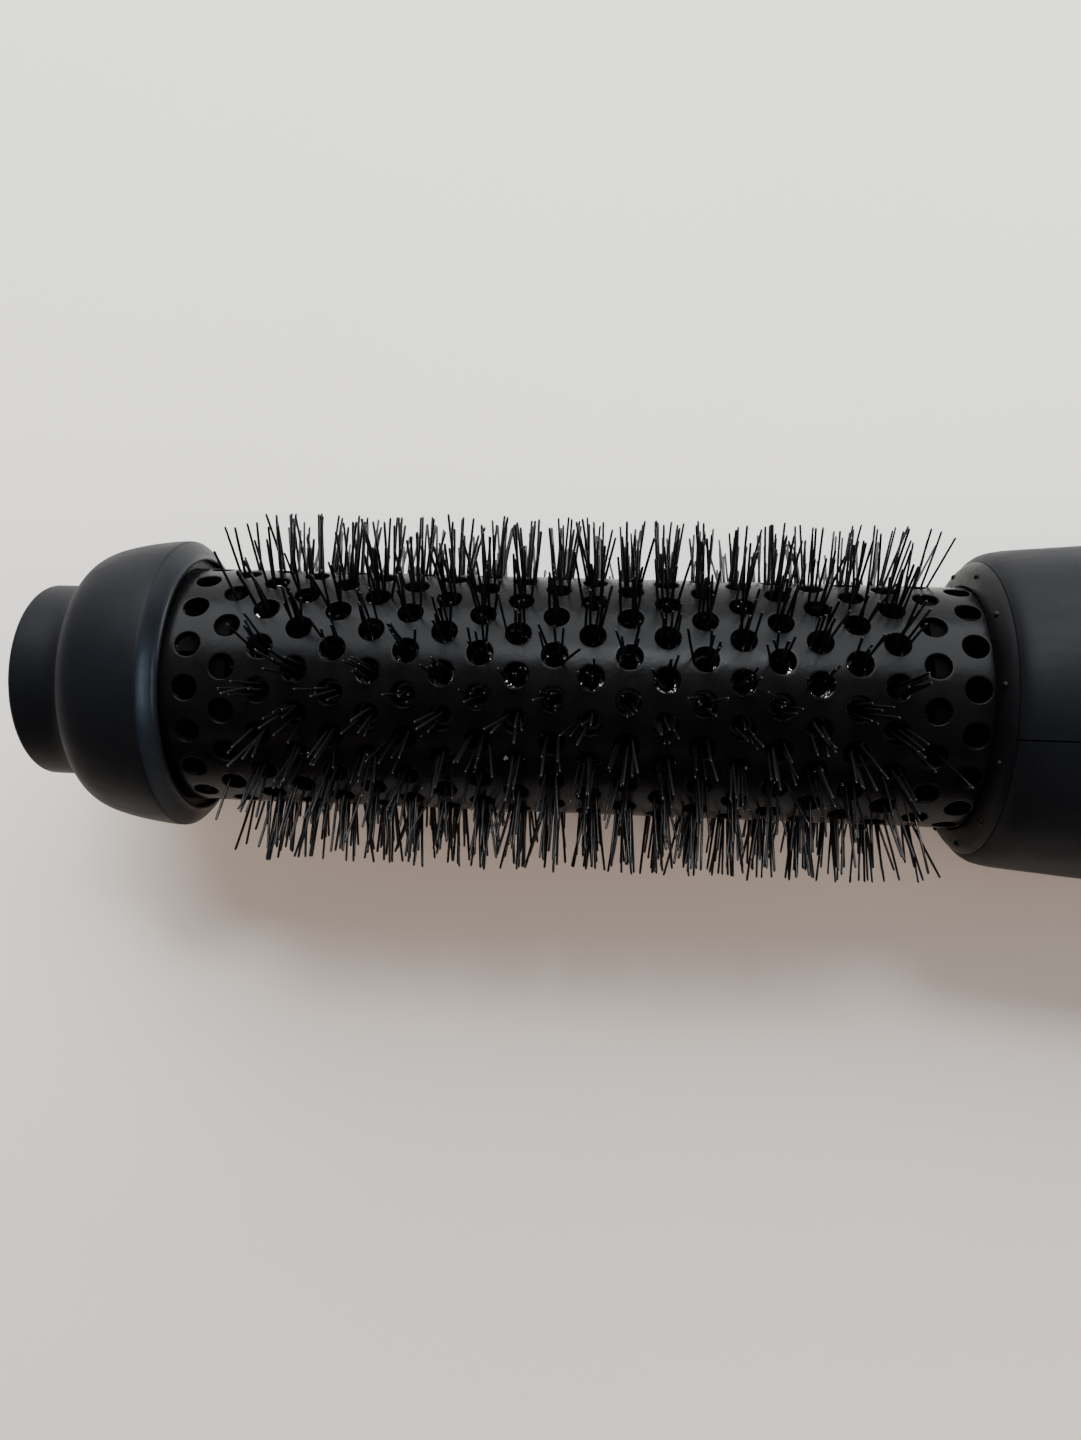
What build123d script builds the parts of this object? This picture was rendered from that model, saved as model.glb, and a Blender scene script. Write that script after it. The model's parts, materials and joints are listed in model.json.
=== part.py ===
"""Corded hot-air styling brush: perforated barrel with bristle rows, cool tip, and a two-shell handle.

Millimetres. The brush lies on its bristles and on a flat under the handle. X runs along the brush, from
the cool tip at -X to the cord gland at +X, Z is up, and the origin is under the middle of the whole brush.
Places along the brush are first counted from the middle of the barrel and then shifted by BARREL_X.
"""

import os
from math import cos, radians, sin

from build123d import *

# ---- driving dimensions -------------------------------------------------------------------------------
TIP_X = -73.2                   # end face of the cool tip
GLAND_X = 258.0                 # end of the cord gland
BARREL_X = -(TIP_X + GLAND_X) / 2
BARREL_R = 16.0                 # outside radius of the barrel
BARREL_WALL = 0.8
BRISTLE_R = 24.0                # radius over the bristle tips
HANDLE_R = 24.4                 # handle radius at its fullest

RING_COUNT = 22                 # rings of holes along the barrel
HOLES_PER_RING = 18
RING_PITCH = 4.62
HOLE_R = 1.62
HOLE_STEP = 360 / HOLES_PER_RING
FIRST_HOLE = 3.25               # angle of the first hole, from +Z towards -Y
FIRST_TUFT_RING, LAST_TUFT_RING = 3, 20

STRIP_R = 12.45                 # underside of the bristle strips
STRIP_THICK = 1.1
SOCKET_R = 1.05
TUFT_ROOT_R, TUFT_TIP_R = 0.95, 1.75
TUFT_ELBOW_R = 13.7             # radius where a tuft begins to fan out
BAND_R = 11.85                  # underside of the band that joins the tuft roots of one row
BAND_THICK = 0.55
ROWS_PER_NODE = 2

SHELL_WALL = 2.2
NOSE_X = 52.05                  # front edge of the handle shells
TAIL_X = 250.0
SEAM_Y = -3.9                   # plane where the two shells meet
SEAM_GAP = 0.15
FLAT_DROP = 24.05               # distance from the axis to the flat under the handle
SNUG = 0.05                     # gap between pieces that sit tight in one another

SHAFT_R = 1.0
GLAND_R = 6.72
GLAND_BORE_R = 3.5
GLAND_HOLE_R = 6.8

SLIDER_X = 199.0                # speed slider at its off position
SLIDER_TRAVEL = 10.0
BUTTON_X = 172.0                # cool-shot button
BUTTON_R = 3.6

SCREW_PLACES = [(160.0, 16.2), (160.0, -16.2), (218.0, 14.4), (218.0, -14.4)]
SCREW_BOSS_R = 2.8

# ---- derived places -----------------------------------------------------------------------------------
first_lowest = 180 - (180 - FIRST_HOLE) % (HOLE_STEP / 2)
lowest_tilt = radians(180 - first_lowest)
AXIS_Z = BRISTLE_R * cos(lowest_tilt) + TUFT_TIP_R * sin(lowest_tilt)
BRUSH_AXIS = Axis((0, 0, AXIS_Z), (1, 0, 0))
SIDE = Plane(origin=(BARREL_X, 0, AXIS_Z), x_dir=(1, 0, 0), z_dir=(0, -1, 0))

HANDLE_OUTLINE = [(NOSE_X, 19.5), (52.6, 20.15), (54.2, 20.75), (57, 21.1), (65, 21.8), (85, 23.3),
                  (110, 24.25), (130, HANDLE_R), (150, 23.8), (175, 22.3), (200, 21.0), (225, 20.3),
                  (238, 20.1)]


def radial_plane(x, angle, radius):
    """Plane at a place on a cylinder round the brush axis, facing outwards, its x along the brush."""
    outward = (0, -sin(radians(angle)), cos(radians(angle)))
    origin = (BARREL_X + x, radius * outward[1], AXIS_Z + radius * outward[2])
    return Plane(origin=origin, x_dir=(1, 0, 0), z_dir=outward)


def ring_x(ring):
    return (ring - (RING_COUNT + 1) / 2) * RING_PITCH


def hole_angle(ring, row):
    half_step = HOLE_STEP / 2 if ring % 2 == 0 else 0
    return FIRST_HOLE + HOLE_STEP * row + half_step


def row_angle(row):
    return FIRST_HOLE + HOLE_STEP * (row + 0.25)


def cross_plane(x, y=0, z=0):
    """Plane across the brush at a place along it, facing the cord, with y and z from the axis."""
    return Plane(origin=(BARREL_X + x, y, AXIS_Z + z), z_dir=(1, 0, 0))


def flat_plane(x, y=0, z=0):
    """Level plane at a place along the brush, facing up, with y and z from the axis."""
    return Plane(origin=(BARREL_X + x, y, AXIS_Z + z))


def section(*points):
    """Closed face in the plane through the brush axis, from (along, radius) points."""
    with BuildSketch(SIDE) as outline:
        with BuildLine():
            Polyline(*points, close=True)
        make_face()
    return outline.sketch


def handle_section(wall, before, after):
    """Face under the handle's swelling outline, drawn in by wall, between two runs of straight corners."""
    points = [(x, r - wall) for x, r in HANDLE_OUTLINE if x > before[-1][0]]
    with BuildSketch(SIDE) as outline:
        with BuildLine():
            side = Spline(*points)
            Polyline(side @ 1, *after, *before, side @ 0)
        make_face()
    return outline.sketch


def save(name, builder):
    builder.part.label = name
    export_step(builder.part, f"parts/{name}.step")


os.makedirs("parts", exist_ok=True)

# ---- barrel -------------------------------------------------------------------------------------------
BARREL_ENDS = (-55.5, 57.8)
ALL_HOLES = [radial_plane(ring_x(ring), hole_angle(ring, row), BARREL_R)
             for ring in range(1, RING_COUNT + 1) for row in range(HOLES_PER_RING)]

with BuildPart() as barrel_tube:
    revolve(section((BARREL_ENDS[0], BARREL_R - BARREL_WALL), (BARREL_ENDS[1], BARREL_R - BARREL_WALL),
                    (BARREL_ENDS[1], BARREL_R), (BARREL_ENDS[0], BARREL_R)), axis=BRUSH_AXIS)
    with Locations(*ALL_HOLES):
        Cylinder(HOLE_R, 4 * BARREL_WALL, mode=Mode.SUBTRACT)
save("barrel_tube", barrel_tube)

# ---- cool tip -----------------------------------------------------------------------------------------
CAP_END_X = -51.35
CAP_LIP_R = 17.15
CAP_R = 19.5
KNOB_R = 13.2
KNOB_EDGE = 0.7                 # rounding of the knob's end
NECK_OUTLINE = [(-70.2, KNOB_R), (-68.9, 13.42), (-67.9, 13.85), (-67.15, 14.6), (-66.6, 15.6),
                (-65.7, 16.75), (-63.8, 17.7), (-61.0, 18.5), (-58.0, 19.0), (-53.3, CAP_R)]

with BuildPart() as tip_cap:
    with BuildSketch(SIDE):
        with BuildLine():
            Polyline((CAP_END_X, CAP_LIP_R), (-60.0, CAP_LIP_R), (-60.0, 15.2), (-65.8, 14.4), (-66.6, 11.4),
                     (-71.4, 11.0), (-71.4, 0), (TIP_X, 0), (TIP_X, KNOB_R - KNOB_EDGE))
            RadiusArc((TIP_X, KNOB_R - KNOB_EDGE), (TIP_X + KNOB_EDGE, KNOB_R), KNOB_EDGE)
            neck = Spline(*NECK_OUTLINE, tangents=[(1, 0), (1, 0.05)])
            Line((TIP_X + KNOB_EDGE, KNOB_R), neck @ 0)
            bevel_top = (-52.8, CAP_R - 0.2)
            Line(neck @ 1, bevel_top)
            Line(bevel_top, (CAP_END_X, CAP_LIP_R))
        make_face()
    revolve(axis=BRUSH_AXIS)
save("tip_cap", tip_cap)

COLLAR_R = CAP_LIP_R - SNUG
COLLAR_ENDS = (-57.5, -52.2)
WEB_X = BARREL_ENDS[0] - SNUG
SCREW_R = 1.2
TIP_HEAD_R = 2.6
TIP_HEAD_THICK = 2.0
TIP_SCREW_END = -48.0

with BuildPart() as tip_collar:
    revolve(section((COLLAR_ENDS[0], SCREW_R + 0.3), (WEB_X, SCREW_R + 0.3), (WEB_X, BARREL_R + SNUG),
                    (COLLAR_ENDS[1], BARREL_R + SNUG), (COLLAR_ENDS[1], COLLAR_R),
                    (COLLAR_ENDS[0], COLLAR_R)), axis=BRUSH_AXIS)
save("tip_collar", tip_collar)

HEAD_X = COLLAR_ENDS[0] - SNUG
with BuildPart() as tip_screw:
    revolve(section((HEAD_X - TIP_HEAD_THICK, 0), (TIP_SCREW_END, 0), (TIP_SCREW_END, SCREW_R),
                    (HEAD_X, SCREW_R), (HEAD_X, TIP_HEAD_R), (HEAD_X - TIP_HEAD_THICK + 0.8, TIP_HEAD_R),
                    (HEAD_X - TIP_HEAD_THICK, TIP_HEAD_R - 0.8)), axis=BRUSH_AXIS)
    with Locations(cross_plane(HEAD_X - TIP_HEAD_THICK)):
        Box(2.4, 0.6, 1.6, mode=Mode.SUBTRACT)
        Box(0.6, 2.4, 1.6, mode=Mode.SUBTRACT)
save("tip_screw", tip_screw)

# ---- air core and strip rings inside the barrel -------------------------------------------------------
CORE_R = 3.0
CORE_END_X = 56.0
CONE_R = 9.0                    # the core spreads to this radius and turns the air outwards
HUB_R = 4.5
HUB_X = WEB_X + SNUG
RIB_COUNT = 4
RIB_R = 10.8
RIB_THICK = 1.0
RIB_LENGTH = 92.0
FOOT_X, FOOT_LENGTH, FOOT_R = 52.0, 8.0, 15.0
PILOT_DEPTH = 8.0
rib_angles = [45 + 360 / RIB_COUNT * k for k in range(RIB_COUNT)]

with BuildPart() as air_core:
    revolve(section((HUB_X, 0), (CORE_END_X, 0), (CORE_END_X, CORE_R), (-20, CORE_R), (-44, CONE_R),
                    (-46, CONE_R), (-46, HUB_R), (HUB_X, HUB_R)), axis=BRUSH_AXIS)
    with Locations(*[radial_plane(0, angle, RIB_R / 2) for angle in rib_angles]):
        Box(RIB_LENGTH, RIB_THICK, RIB_R)
    with Locations(*[radial_plane(FOOT_X, angle, FOOT_R / 2) for angle in rib_angles]):
        Box(FOOT_LENGTH, RIB_THICK, FOOT_R)
    with Locations(cross_plane(HUB_X)):
        Cylinder(SCREW_R + SNUG, 2 * PILOT_DEPTH, mode=Mode.SUBTRACT)
save("air_core", air_core)

STRIP_RING_X = 44.9
STRIP_RING_WIDTH = 2.4
STRIP_RING_BORE_R = 11.1
TAB_WIDTH = 1.8
TAB_LENGTH = 6.0
TAB_X = STRIP_RING_X - 1.6
strip_mid_r = STRIP_R + STRIP_THICK / 2

for name, ring_place in (("strip_ring_front", -STRIP_RING_X), ("strip_ring_rear", STRIP_RING_X)):
    with BuildPart() as strip_ring:
        low, high = ring_place - STRIP_RING_WIDTH / 2, ring_place + STRIP_RING_WIDTH / 2
        outer = BARREL_R - BARREL_WALL - SNUG
        revolve(section((low, STRIP_RING_BORE_R), (high, STRIP_RING_BORE_R), (high, outer), (low, outer)),
                axis=BRUSH_AXIS)
        with Locations(*[radial_plane(ring_place, row_angle(row), strip_mid_r)
                         for row in range(HOLES_PER_RING)]):
            Box(2 * STRIP_RING_WIDTH, TAB_WIDTH + 2 * SNUG, STRIP_THICK + 2 * SNUG, mode=Mode.SUBTRACT)
    save(name, strip_ring)

# ---- bristle strips: one zigzag strip of sockets behind each pair of hole lines ------------------------
TUFT_RINGS = range(FIRST_TUFT_RING, LAST_TUFT_RING + 1)


def zigzag(height):
    """Points of a row's sockets, drawn flat at a height above the axis."""
    swing = height * sin(radians(HOLE_STEP / 4)) / cos(radians(HOLE_STEP / 4))
    return [(ring_x(ring), swing if ring % 2 else -swing) for ring in TUFT_RINGS]


for row in range(HOLES_PER_RING):
    sockets = [radial_plane(ring_x(ring), hole_angle(ring, row), strip_mid_r) for ring in TUFT_RINGS]
    with BuildPart() as bristle_strip:
        with BuildSketch(radial_plane(0, row_angle(row), STRIP_R)):
            with BuildLine():
                Polyline(*zigzag(strip_mid_r))
            trace(line_width=TAB_WIDTH)
            with Locations(*zigzag(strip_mid_r)):
                Circle(SOCKET_R + 0.5)
            for end in (-1, 1):
                with Locations((end * TAB_X, 0)):
                    Rectangle(TAB_LENGTH, TAB_WIDTH)
        extrude(amount=STRIP_THICK)
        with Locations(*sockets):
            Cylinder(SOCKET_R, 3 * STRIP_THICK, mode=Mode.SUBTRACT)
    save(f"bristle_strip_{row + 1:02d}", bristle_strip)

# ---- bristle rows: tufts joined at their roots by a thin band under the strip --------------------------
BAND_WIDTH = 1.3
ROOT_BASE_R = BAND_R + 0.1
up = (Align.CENTER, Align.CENTER, Align.MIN)

for first_row in range(0, HOLES_PER_RING, ROWS_PER_NODE):
    with BuildPart() as bristle_rows:
        for row in range(first_row, first_row + ROWS_PER_NODE):
            roots = [radial_plane(ring_x(ring), hole_angle(ring, row), ROOT_BASE_R) for ring in TUFT_RINGS]
            elbows = [radial_plane(ring_x(ring), hole_angle(ring, row), TUFT_ELBOW_R) for ring in TUFT_RINGS]
            with BuildSketch(radial_plane(0, row_angle(row), BAND_R)):
                with BuildLine():
                    Polyline(*zigzag(BAND_R))
                trace(line_width=BAND_WIDTH)
            extrude(amount=BAND_THICK)
            with Locations(*roots):
                Cylinder(TUFT_ROOT_R, TUFT_ELBOW_R - ROOT_BASE_R, align=up)
            with Locations(*elbows):
                Cone(TUFT_ROOT_R, TUFT_TIP_R, BRISTLE_R - TUFT_ELBOW_R, align=up)
    save(f"bristle_rows_{first_row // ROWS_PER_NODE + 1}", bristle_rows)

# ---- nose ring ----------------------------------------------------------------------------------------
NOSE_FACE_X = 50.4
NOSE_RING_R = 19.4
RING_BORE_R = BARREL_R + SNUG
RING_STOP_X = BARREL_ENDS[1] + SNUG
PIP_COUNT = 12
PIP_R = 0.45
PIP_PLACE = (50.8, 18.0)
FIRST_PIP = -8.0

with BuildPart() as nose_ring:
    with BuildSketch(SIDE):
        with BuildLine():
            Line((NOSE_FACE_X, RING_BORE_R), (NOSE_FACE_X, 16.8))
            ThreePointArc((NOSE_FACE_X, 16.8), (50.85, 18.3), (52.0, NOSE_RING_R))
            Polyline((52.0, NOSE_RING_R), (52.0, 18.3), (56.0, 18.3), (56.0, 19.2), (58.0, 19.2),
                     (58.0, 18.0), (59.6, 18.0), (59.6, 15.3), (RING_STOP_X, 15.3),
                     (RING_STOP_X, RING_BORE_R), (NOSE_FACE_X, RING_BORE_R))
        make_face()
    revolve(axis=BRUSH_AXIS)
    with Locations(*[radial_plane(PIP_PLACE[0], FIRST_PIP + 360 / PIP_COUNT * k, PIP_PLACE[1])
                     for k in range(PIP_COUNT)]):
        Sphere(PIP_R)
save("nose_ring", nose_ring)

# ---- handle shells ------------------------------------------------------------------------------------
COLLAR_GROOVE = (242.7, 247.3, 9.0)
TAIL_EDGE = [(246.5, 18.2), (TAIL_X, 14.0)]
FLAT_X, FLAT_LENGTH = 145.0, 180.0
POCKET_Y = -20.0                # floor of the slider's pocket
POCKET_SIZE = (28.0, 9.0)
pocket_x = SLIDER_X - SLIDER_TRAVEL / 2
INLET_X, INLET_LENGTH, INLET_WIDTH, INLET_COUNT = 230.0, 12.0, 1.7, 28
INLET_R = 19.0
SEAM_ANGLE = 11.2               # where the seam meets the handle's outside at the inlet
SEAM_CLEAR = 9.0                # inlet slots keep this many degrees from the seam
HEAD_SEAT_Y = -9.0              # the shell screws' heads seat here, at the foot of their wells
WELL_R = 2.7


def screw_planes(y):
    """Planes of the shell screws, facing -Y, at a height along Y."""
    return [Plane(origin=(BARREL_X + x, y, AXIS_Z + z), x_dir=(1, 0, 0), z_dir=(0, -1, 0))
            for x, z in SCREW_PLACES]


def side_plane(x, y, z=0):
    return Plane(origin=(BARREL_X + x, y, AXIS_Z + z), x_dir=(1, 0, 0), z_dir=(0, -1, 0))


def inlet_planes():
    angles = [360 / INLET_COUNT * (k + 0.5) for k in range(INLET_COUNT)]
    return [radial_plane(INLET_X, angle, INLET_R) for angle in angles
            if min(abs(angle - SEAM_ANGLE), abs(angle - 180 + SEAM_ANGLE)) > SEAM_CLEAR]


groove_low, groove_high, groove_r = COLLAR_GROOVE
NOSE_STEPS = [(NOSE_X - 1, 0), (NOSE_X - 1, 18.4), (55.9, 18.4), (55.9, 19.3), (58.15, 19.3), (58.15, 19.0)]
TAIL_STEPS = [(238, GLAND_HOLE_R), (groove_low, GLAND_HOLE_R), (groove_low, groove_r),
              (groove_high, groove_r), (groove_high, GLAND_HOLE_R), (TAIL_X + 1, GLAND_HOLE_R),
              (TAIL_X + 1, 0)]

with BuildPart() as cavity:
    revolve(handle_section(SHELL_WALL, NOSE_STEPS, TAIL_STEPS), axis=BRUSH_AXIS)
    with Locations(*screw_planes(0)):
        Cylinder(SCREW_BOSS_R, 80, mode=Mode.SUBTRACT)


def handle_shell(keep, gap):
    """One half of the handle, on the side of the seam plane that keep names."""
    with BuildPart() as shell:
        with BuildSketch(SIDE):
            with BuildLine():
                side = Spline(*HANDLE_OUTLINE)
                tail = ThreePointArc(side @ 1, *TAIL_EDGE)
                Polyline(tail @ 1, (TAIL_X, 0), (NOSE_X, 0), side @ 0)
            make_face()
        revolve(axis=BRUSH_AXIS)
        add(cavity.part, mode=Mode.SUBTRACT)
        with Locations(flat_plane(FLAT_X, z=-FLAT_DROP - 5)):
            Box(FLAT_LENGTH, 3 * HANDLE_R, 10, mode=Mode.SUBTRACT)
        with Locations(*inlet_planes()):
            Box(INLET_LENGTH, INLET_WIDTH, 6, mode=Mode.SUBTRACT)
        split(bisect_by=Plane(origin=(0, SEAM_Y + gap, 0), z_dir=(0, 1, 0)), keep=keep)
    return shell.part


with BuildPart() as left_shell:
    add(handle_shell(Keep.TOP, SEAM_GAP / 2))
    with Locations(*screw_planes(0)):
        Cylinder(SCREW_R + SNUG, 18, mode=Mode.SUBTRACT)
save("left_shell", left_shell)

STEM_SLOT = (SLIDER_TRAVEL + 4.2, 2.6)
with BuildPart() as right_shell:
    add(handle_shell(Keep.BOTTOM, -SEAM_GAP / 2))
    with Locations(*screw_planes(0)):
        Cylinder(SCREW_R + SNUG, 60, mode=Mode.SUBTRACT)
    with Locations(*screw_planes(HEAD_SEAT_Y - 10)):
        Cylinder(WELL_R, 20, mode=Mode.SUBTRACT)
    with BuildSketch(side_plane(pocket_x, POCKET_Y)):
        RectangleRounded(*POCKET_SIZE, 2.5)
    extrude(amount=10, mode=Mode.SUBTRACT)
    with Locations(side_plane(pocket_x, POCKET_Y)):
        Box(*STEM_SLOT, 8, mode=Mode.SUBTRACT)
    with Locations(side_plane(BUTTON_X, POCKET_Y)):
        Cylinder(BUTTON_R + 0.3, 12, mode=Mode.SUBTRACT)
save("right_shell", right_shell)

# ---- controls -----------------------------------------------------------------------------------------
KNOB_SIZE = (15.0, 8.2)
KNOB_BASE_Y = POCKET_Y - 0.3
KNOB_THICK = 2.4
GRIP_COUNT, GRIP_PITCH = 5, 2.2
SLIDER_STEM_END = -6.0
WASHER_Y = -17.0                # plate behind the pocket that keeps the slider in

with BuildPart() as speed_slider:
    with BuildSketch(side_plane(SLIDER_X, KNOB_BASE_Y)):
        RectangleRounded(*KNOB_SIZE, 2.0)
    extrude(amount=KNOB_THICK)
    with Locations(*[side_plane(SLIDER_X + GRIP_PITCH * (k - (GRIP_COUNT - 1) / 2), KNOB_BASE_Y - KNOB_THICK)
                     for k in range(GRIP_COUNT)]):
        Box(0.9, 6.0, 1.0)
    with Locations(side_plane(SLIDER_X, (KNOB_BASE_Y + SLIDER_STEM_END) / 2)):
        Box(3.2, 1.8, SLIDER_STEM_END - KNOB_BASE_Y + 0.2)
    with Locations(side_plane(SLIDER_X, WASHER_Y)):
        Box(4.5, 7.0, 1.0)
save("speed_slider", speed_slider)

BUTTON_TOP_Y = -24.2
FLANGE_Y = -18.2                # inner face of the button's flange
STEM_END_Y = -7.5
FLANGE_R = 5.0
BUTTON_STEM_R = 1.2

with BuildPart() as cool_button:
    with BuildSketch(side_plane(BUTTON_X, FLANGE_Y)):
        Circle(FLANGE_R)
    extrude(amount=1.0)
    with BuildSketch(side_plane(BUTTON_X, FLANGE_Y - 0.5)):
        Circle(BUTTON_R)
    extrude(amount=-BUTTON_TOP_Y + FLANGE_Y - 0.5)
    fillet(cool_button.edges().filter_by(GeomType.CIRCLE).group_by(Axis.Y)[0], 0.6)
    with BuildSketch(side_plane(BUTTON_X, STEM_END_Y)):
        Circle(BUTTON_STEM_R)
    extrude(amount=STEM_END_Y - FLANGE_Y + 0.3)
save("cool_button", cool_button)

SPRING_SEAT_Y = -8.4
SPRING_TURNS = 7
SPRING_R, SPRING_SWING, SPRING_WIRE = 2.0, 0.8, 0.4
spring_pitch = (SPRING_SEAT_Y - FLANGE_Y - 0.4) / SPRING_TURNS
BUTTON_AXIS = Axis((BARREL_X + BUTTON_X, 0, AXIS_Z), (0, 1, 0))

with BuildPart() as cool_button_spring:
    with BuildSketch(Plane(origin=(BARREL_X + BUTTON_X, SPRING_SEAT_Y - 0.2, AXIS_Z), x_dir=(1, 0, 0),
                           z_dir=(0, 0, 1))):
        with BuildLine():
            outer_wave = [(SPRING_R + SPRING_SWING * (k % 2), -k * spring_pitch / 2)
                          for k in range(2 * SPRING_TURNS + 1)]
            inner_wave = [(r - SPRING_WIRE, y) for r, y in reversed(outer_wave)]
            Polyline(*outer_wave, *inner_wave, close=True)
        make_face()
    revolve(axis=BUTTON_AXIS)
save("cool_button_spring", cool_button_spring)

# ---- heater -------------------------------------------------------------------------------------------
HEATER_ENDS = (62.0, 106.0)
HEATER_MID = sum(HEATER_ENDS) / 2
COIL_R = 13.5
COIL_WIRE = 0.5
COIL_TURNS, COIL_PITCH = 8, 5.0
COIL_PLANES = [cross_plane(HEATER_MID + COIL_PITCH * (k - (COIL_TURNS - 1) / 2)) for k in range(COIL_TURNS)]
MICA_THICK = 0.8
MICA_SPAN = 34.0
HEATER_LENGTH = HEATER_ENDS[1] - HEATER_ENDS[0]

with BuildPart() as mica_cross:
    with Locations(flat_plane(HEATER_MID)):
        Box(HEATER_LENGTH, MICA_THICK, MICA_SPAN)
        Box(HEATER_LENGTH, MICA_SPAN, MICA_THICK)
    with Locations(*COIL_PLANES):
        Torus(COIL_R, COIL_WIRE + 0.15, mode=Mode.SUBTRACT)
save("mica_cross", mica_cross)

with BuildPart() as heater_coil:
    with Locations(*COIL_PLANES):
        Torus(COIL_R, COIL_WIRE)
save("heater_coil", heater_coil)

SLEEVE_ENDS = (61.0, 108.0)
SLEEVE_INNER_R, SLEEVE_OUTER_R = 17.6, 18.3
with BuildPart() as mica_sleeve:
    revolve(section((SLEEVE_ENDS[0], SLEEVE_INNER_R), (SLEEVE_ENDS[1], SLEEVE_INNER_R),
                    (SLEEVE_ENDS[1], SLEEVE_OUTER_R), (SLEEVE_ENDS[0], SLEEVE_OUTER_R)), axis=BRUSH_AXIS)
save("mica_sleeve", mica_sleeve)

THERMOSTAT_SIZE = (12.0, 3.0, 6.0)
DISC_SIZE = (9.0, 1.2, 3.5)
with BuildPart() as thermostat:
    with Locations(flat_plane(HEATER_MID, 2.2, 6)):
        Box(*THERMOSTAT_SIZE)
    with Locations(flat_plane(HEATER_MID, 4.2, 6)):
        Box(*DISC_SIZE)
save("thermostat", thermostat)

FUSE_R, FUSE_LENGTH = 1.8, 11.0
LEAD_R, LEAD_LENGTH = 0.5, 19.0
with BuildPart() as thermal_fuse:
    with Locations(cross_plane(HEATER_MID, -7, 2.4)):
        Cylinder(FUSE_R, FUSE_LENGTH)
        Cylinder(LEAD_R, LEAD_LENGTH)
save("thermal_fuse", thermal_fuse)

# ---- fan and motor ------------------------------------------------------------------------------------
MOTOR_R = 12.0
MOTOR_ENDS = (126.0, 153.0)
MOTOR_EDGE = 1.0
BUSH_X = (124.0, 156.0)         # ends of the motor's two bushes
FRONT_BUSH_R, REAR_BUSH_R = 4.0, 5.0
BORE_R = SHAFT_R + 0.05

with BuildPart() as motor:
    revolve(section((BUSH_X[0], BORE_R), (BUSH_X[1], BORE_R), (BUSH_X[1], REAR_BUSH_R),
                    (MOTOR_ENDS[1], REAR_BUSH_R), (MOTOR_ENDS[1], MOTOR_R - MOTOR_EDGE),
                    (MOTOR_ENDS[1] - MOTOR_EDGE, MOTOR_R), (MOTOR_ENDS[0] + MOTOR_EDGE, MOTOR_R),
                    (MOTOR_ENDS[0], MOTOR_R - MOTOR_EDGE), (MOTOR_ENDS[0], FRONT_BUSH_R),
                    (BUSH_X[0], FRONT_BUSH_R)), axis=BRUSH_AXIS)
save("motor", motor)

MOUNT_ENDS = (131.0, 141.0)
MOUNT_R = 13.8
VANE_COUNT, VANE_R = 4, 17.4
VANE_SIZE = (8.0, 2.0, 8.0)
with BuildPart() as motor_mount:
    revolve(section((MOUNT_ENDS[0], MOTOR_R + SNUG), (MOUNT_ENDS[1], MOTOR_R + SNUG),
                    (MOUNT_ENDS[1], MOUNT_R), (MOUNT_ENDS[0], MOUNT_R)), axis=BRUSH_AXIS)
    with Locations(*[radial_plane(sum(MOUNT_ENDS) / 2, 45 + 360 / VANE_COUNT * k, VANE_R)
                     for k in range(VANE_COUNT)]):
        Box(*VANE_SIZE)
save("motor_mount", motor_mount)

SHAFT_ENDS = (110.0, 158.0)
with BuildPart() as motor_shaft:
    revolve(section((SHAFT_ENDS[0], 0), (SHAFT_ENDS[1], 0), (SHAFT_ENDS[1], SHAFT_R),
                    (SHAFT_ENDS[0], SHAFT_R)), axis=BRUSH_AXIS)
save("motor_shaft", motor_shaft)

BLADE_COUNT, BLADE_X, BLADE_R, BLADE_TWIST = 7, 117.0, 11.5, 35
BLADE_SIZE = (9.5, 0.9, 15.5)
FAN_HUB_R = 4.5
FAN_BORE_R = SHAFT_R + 0.02
with BuildPart() as impeller:
    with Locations(*[radial_plane(BLADE_X, 360 / BLADE_COUNT * k, BLADE_R) for k in range(BLADE_COUNT)]):
        Box(*BLADE_SIZE, rotation=(0, 0, BLADE_TWIST))
    revolve(section((111, 0), (111, 2), (113, FAN_HUB_R), (122, FAN_HUB_R), (122, 0)), axis=BRUSH_AXIS)
    revolve(section((109, 0), (124, 0), (124, FAN_BORE_R), (109, FAN_BORE_R)), axis=BRUSH_AXIS,
            mode=Mode.SUBTRACT)
save("impeller", impeller)

# ---- electrics ----------------------------------------------------------------------------------------
BOARD_Y = 2.0
BOARD_THICK = 1.6
BOARD_X, BOARD_LENGTH, BOARD_WIDTH = 188.5, 49.0, 23.0
BOARD_HOLE_R, BOARD_HOLE_INSET = 1.4, 3.0

with BuildPart() as circuit_board:
    with BuildSketch(side_plane(BOARD_X, BOARD_Y)):
        Rectangle(BOARD_LENGTH, BOARD_WIDTH)
        with GridLocations(BOARD_LENGTH - 2 * BOARD_HOLE_INSET, BOARD_WIDTH - 2 * BOARD_HOLE_INSET, 2, 2):
            Circle(BOARD_HOLE_R, mode=Mode.SUBTRACT)
    extrude(amount=-BOARD_THICK)
save("circuit_board", circuit_board)

board_back = BOARD_Y + BOARD_THICK + SNUG
CAN_R, CAN_LENGTH = 5.0, 14.0
with BuildPart() as capacitor:
    with Locations(cross_plane(190, board_back + CAN_R, 3)):
        Cylinder(CAN_R, CAN_LENGTH)
        fillet(capacitor.edges().filter_by(GeomType.CIRCLE), 0.6)
save("capacitor", capacitor)

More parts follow.
